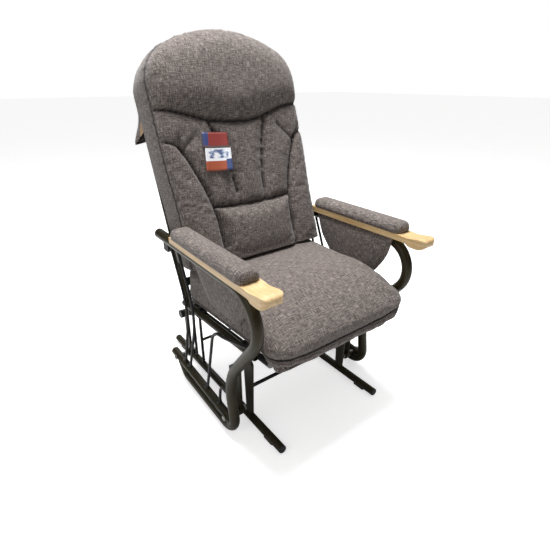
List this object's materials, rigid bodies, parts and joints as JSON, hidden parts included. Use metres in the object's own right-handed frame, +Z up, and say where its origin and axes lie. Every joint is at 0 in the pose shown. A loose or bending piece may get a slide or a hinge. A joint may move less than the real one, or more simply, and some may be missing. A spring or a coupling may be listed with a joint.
{
  "type": "glider chair",
  "caption": "Padded glider chair with bent-tube side frames and wooden arms, hung from a floor base on swing links.",
  "frame": {"origin": "centre of the object's bounding box at floor level", "axes": "+Z up, the sitter faces -Y, +X is the sitter's left"},
  "size_m": [0.626, 0.8121, 1.1392],
  "materials": {
    "bronze_frame": "dark olive-bronze powder coat, satin",
    "black_steel": "black paint, satin",
    "black_plastic": "moulded, matte",
    "grey_plastic": "moulded, matte",
    "glide_plastic": "moulded, matte",
    "zinc_hardware": "zinc plated",
    "bearing_steel": "turned",
    "spring_steel": "oiled black wire",
    "maple": "clear satin varnish",
    "tweed": "heathered grey-brown tweed",
    "tag_card": "printed card, plain colour blocks"
  },
  "bodies": {
    "base": {"runner_left": "bronze_frame", "runner_right": "bronze_frame", "runner_end_caps": "black_plastic", "floor_glides": "glide_plastic", "front_upright_left": "bronze_frame", "front_upright_right": "bronze_frame", "rear_pivot_blocks": "black_plastic", "rear_upright_left": "black_steel", "rear_upright_right": "black_steel", "front_crossbar": "black_steel", "rear_crossbar": "black_steel", "upper_pivot_bolts": "zinc_hardware", "upper_pivot_sleeves": "zinc_hardware", "upper_pivot_nuts": "zinc_hardware", "pivot_caps": "black_plastic"},
    "link_front_left": {"swing_link_front_left": "bronze_frame", "link_bearings_front_left": "bearing_steel"},
    "link_front_right": {"swing_link_front_right": "bronze_frame", "link_bearings_front_right": "bearing_steel"},
    "link_rear_left": {"swing_link_rear_left": "bronze_frame", "link_bearings_rear_left": "bearing_steel"},
    "link_rear_right": {"swing_link_rear_right": "bronze_frame", "link_bearings_rear_right": "bearing_steel"},
    "chair": {"arm_pad_left": "tweed", "arm_pad_right": "tweed", "arm_rest_left": "maple", "arm_rest_right": "maple", "arm_screws": "zinc_hardware", "back_clamps": "black_plastic", "back_cross_tube": "bronze_frame", "back_cushion": "tweed", "back_hood": "tweed", "back_hoop": "bronze_frame", "back_slats": "black_steel", "bottom_rail_left": "bronze_frame", "bottom_rail_right": "bronze_frame", "front_cross_tube": "black_steel", "hang_tag": "tag_card", "long_scroll_left": "black_steel", "long_scroll_right": "black_steel", "lower_pivot_bolts": "zinc_hardware", "lower_pivot_nuts": "zinc_hardware", "lower_pivot_sleeves": "zinc_hardware", "rear_cross_tube": "black_steel", "rod_collars": "black_steel", "seat_cushion": "tweed", "seat_deck": "black_steel", "seat_rail_left": "bronze_frame", "seat_rail_right": "bronze_frame", "seat_springs": "spring_steel", "short_scroll_left": "black_steel", "short_scroll_right": "black_steel", "side_panel_left": "tweed", "side_panel_right": "tweed", "side_tube_left": "bronze_frame", "side_tube_right": "bronze_frame", "spindles_left": "black_steel", "spindles_right": "black_steel", "spring_clips": "black_plastic", "tube_end_caps": "grey_plastic"}
  },
  "joints": [
    {"name": "rear_right_link_swing", "type": "hinge", "parent": "base", "child": "link_rear_right", "pos_m": [-0.239, 0.178, 0.25177], "axis": [1, 0, 0], "range_deg": [-24, 24]},
    {"name": "rear_left_link_swing", "type": "hinge", "parent": "base", "child": "link_rear_left", "pos_m": [0.239, 0.178, 0.25177], "axis": [1, 0, 0], "range_deg": [-24, 24]},
    {"name": "front_right_link_swing", "type": "hinge", "parent": "base", "child": "link_front_right", "pos_m": [-0.239, -0.168, 0.23093], "axis": [1, 0, 0], "range_deg": [-24, 24]},
    {"name": "front_left_link_swing", "type": "hinge", "parent": "base", "child": "link_front_left", "pos_m": [0.239, -0.168, 0.23093], "axis": [1, 0, 0], "range_deg": [-24, 24]},
    {"name": "chair_level", "type": "hinge", "parent": "link_rear_right", "child": "chair", "pos_m": [-0.239, 0.178, 0.07977], "axis": [1, 0, 0], "range_deg": [-24, 24]}
  ],
  "couplings": [
    {"joint": "rear_left_link_swing", "follows": "rear_right_link_swing", "ratio": 1},
    {"joint": "front_right_link_swing", "follows": "rear_right_link_swing", "ratio": 1},
    {"joint": "front_left_link_swing", "follows": "rear_right_link_swing", "ratio": 1},
    {"joint": "chair_level", "follows": "rear_right_link_swing", "ratio": -1}
  ]
}
